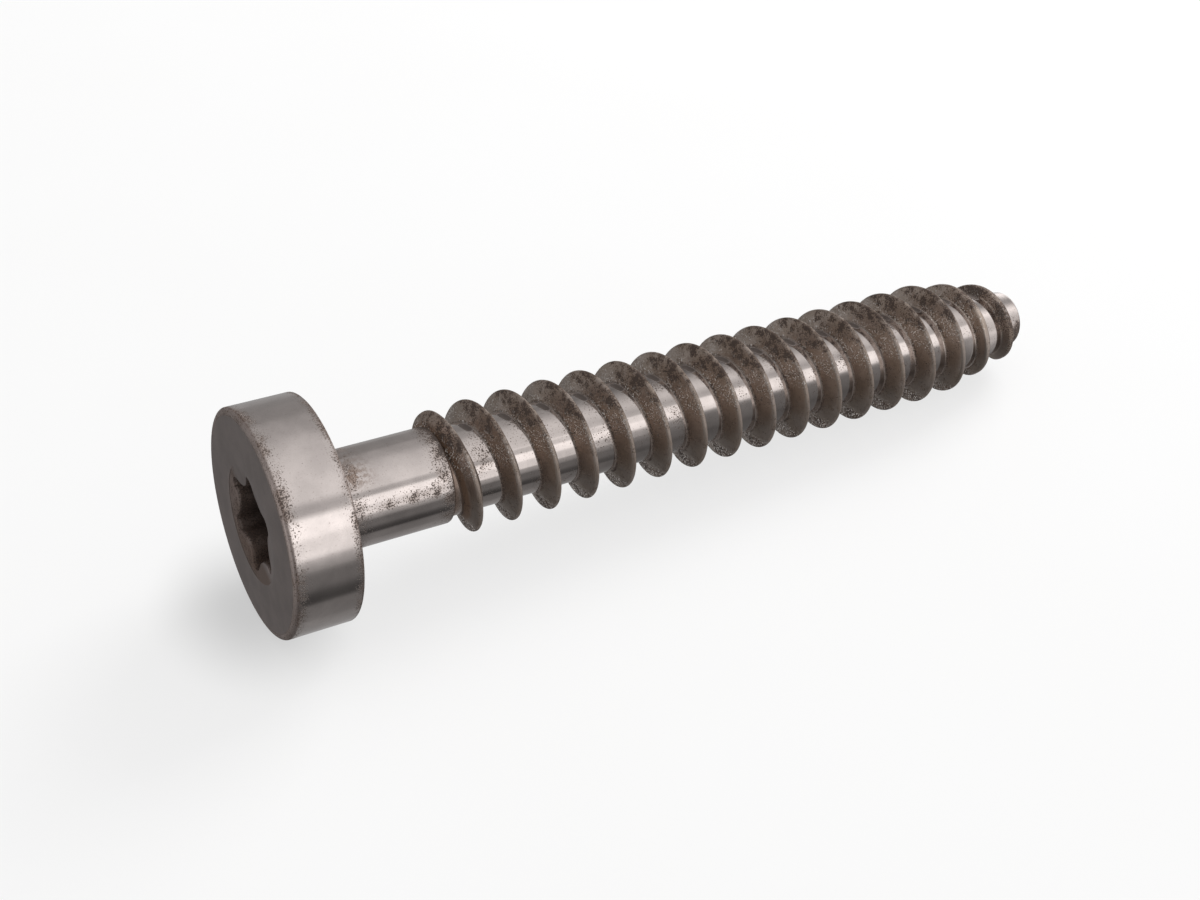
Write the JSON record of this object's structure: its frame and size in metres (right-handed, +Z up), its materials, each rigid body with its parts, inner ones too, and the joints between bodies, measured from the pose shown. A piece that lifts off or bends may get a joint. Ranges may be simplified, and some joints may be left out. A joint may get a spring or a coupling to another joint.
{
  "type": "wood screw",
  "caption": "Blunt-ended steel wood screw with a thick flat head, a six-lobe drive recess, a short plain shank and a coarse right-hand thread.",
  "frame": {"origin": "centre of the head's underside, the face that clamps the wood, on the screw's axis", "axes": "+X along the axis from the head to the tip, +Z up as the screw lies on its side"},
  "size_m": [0.0499, 0.0122, 0.0122],
  "materials": {
    "head_steel": "turned and worn, with rust speckles at the rims",
    "shank_steel": "bright, with rust speckles at both ends",
    "core_steel": "bright, polished by use",
    "thread_steel": "dull brown patina with brighter specks on the crest",
    "tip_steel": "turned bright, with rust specks"
  },
  "bodies": {
    "root": {"head": "head_steel", "shank": "shank_steel", "core": "core_steel", "thread": "thread_steel", "tip": "tip_steel"}
  },
  "joints": []
}
